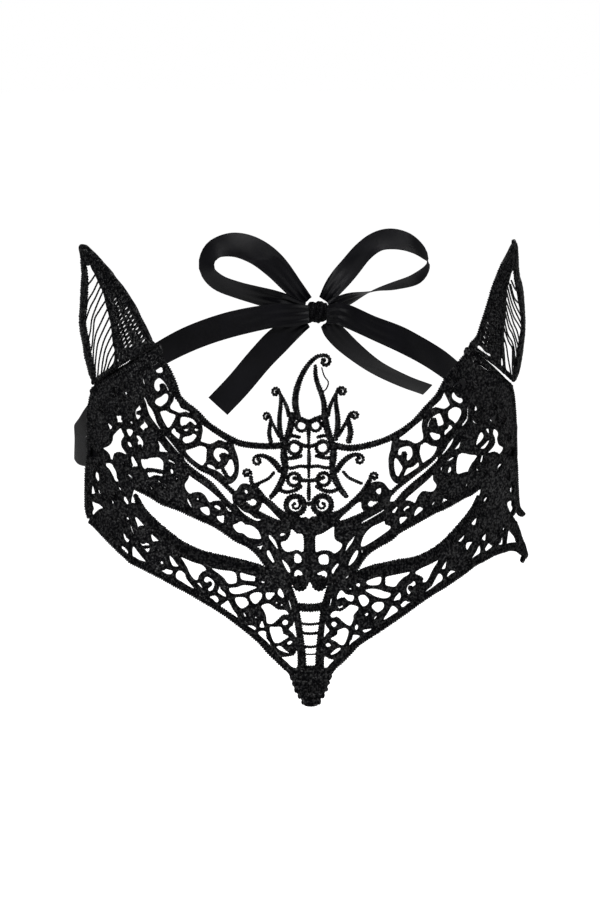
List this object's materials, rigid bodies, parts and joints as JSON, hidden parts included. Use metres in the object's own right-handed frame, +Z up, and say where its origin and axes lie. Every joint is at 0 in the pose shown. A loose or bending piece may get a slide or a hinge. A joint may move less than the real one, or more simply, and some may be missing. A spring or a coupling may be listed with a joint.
{
  "type": "lace fox half mask",
  "caption": "Black embroidered lace half mask shaped as a fox face with pointed lace ears, open almond eyes and satin ribbon ties in a bow.",
  "frame": {"origin": "centre of the head inside the mask, at eye height", "axes": "+X towards the wearer's left, -Y forwards out of the face, +Z up; the ribbon's bow is at +Y"},
  "size_m": [0.1542, 0.2161, 0.1465],
  "materials": {
    "black_lace_thread": "embroidered thread, matt with a faint sheen",
    "black_satin_ribbon": "satin"
  },
  "bodies": {
    "mask": {"bow_knot": "black_satin_ribbon", "bridge_collar": "black_lace_thread", "brow_border_left": "black_lace_thread", "brow_border_right": "black_lace_thread", "brow_cord_lower_left": "black_lace_thread", "brow_cord_lower_right": "black_lace_thread", "brow_cord_upper_left": "black_lace_thread", "brow_cord_upper_right": "black_lace_thread", "centre_crest": "black_lace_thread", "cheek_border_left": "black_lace_thread", "cheek_border_right": "black_lace_thread", "cheek_lattice_left": "black_lace_thread", "cheek_lattice_right": "black_lace_thread", "crest_horns_left": "black_lace_thread", "crest_horns_right": "black_lace_thread", "crest_scroll_column": "black_lace_thread", "ear_base_band_left": "black_lace_thread", "ear_base_band_right": "black_lace_thread", "eye_rim_lower_left": "black_lace_thread", "eye_rim_lower_right": "black_lace_thread", "eye_rim_upper_left": "black_lace_thread", "eye_rim_upper_right": "black_lace_thread", "eye_scroll_row_left": "black_lace_thread", "eye_scroll_row_right": "black_lace_thread", "nose_ridge_cords": "black_lace_thread", "nose_tip_patch": "black_lace_thread", "ribbon_hem_left": "black_satin_ribbon", "ribbon_hem_right": "black_satin_ribbon", "ribbon_strap_left": "black_satin_ribbon", "ribbon_strap_right": "black_satin_ribbon", "side_border_left": "black_lace_thread", "side_border_right": "black_lace_thread", "temple_lattice_left": "black_lace_thread", "temple_lattice_right": "black_lace_thread", "upper_scroll_band_left": "black_lace_thread", "upper_scroll_band_right": "black_lace_thread"},
    "ear_left": {"ear_border_left": "black_lace_thread", "ear_midrib_left": "black_lace_thread", "ear_threads_left": "black_lace_thread", "ear_net_left": "black_lace_thread"},
    "bow_loop_left": {"bow_loop_left": "black_satin_ribbon"},
    "bow_tail_left": {"bow_tail_left": "black_satin_ribbon"},
    "ear_right": {"ear_border_right": "black_lace_thread", "ear_midrib_right": "black_lace_thread", "ear_threads_right": "black_lace_thread", "ear_net_right": "black_lace_thread"},
    "bow_loop_right": {"bow_loop_right": "black_satin_ribbon"},
    "bow_tail_right": {"bow_tail_right": "black_satin_ribbon"}
  },
  "joints": [
    {"name": "ear_left_fold", "type": "hinge", "parent": "mask", "child": "ear_left", "pos_m": [0.06131, -0.07086, 0.05146], "axis": [0.6949, 0.4851, -0.5308], "range_deg": [-15, 15]},
    {"name": "ear_right_fold", "type": "hinge", "parent": "mask", "child": "ear_right", "pos_m": [-0.06131, -0.07086, 0.05146], "axis": [0.6949, -0.4851, 0.5308], "range_deg": [-15, 15]},
    {"name": "bow_loop_left_swing", "type": "hinge", "parent": "mask", "child": "bow_loop_left", "pos_m": [0.016, 0.0945, 0.0465], "axis": [0, 1, 0], "range_deg": [-13, 8]},
    {"name": "bow_loop_right_swing", "type": "hinge", "parent": "mask", "child": "bow_loop_right", "pos_m": [0.016, 0.0945, 0.0465], "axis": [0, 1, 0], "range_deg": [-8, 13]},
    {"name": "bow_tail_left_swing", "type": "hinge", "parent": "mask", "child": "bow_tail_left", "pos_m": [0.016, 0.0945, 0.0465], "axis": [0, 1, 0], "range_deg": [-8, 8]},
    {"name": "bow_tail_right_swing", "type": "hinge", "parent": "mask", "child": "bow_tail_right", "pos_m": [0.016, 0.0945, 0.0465], "axis": [0, 1, 0], "range_deg": [-8, 8]}
  ]
}
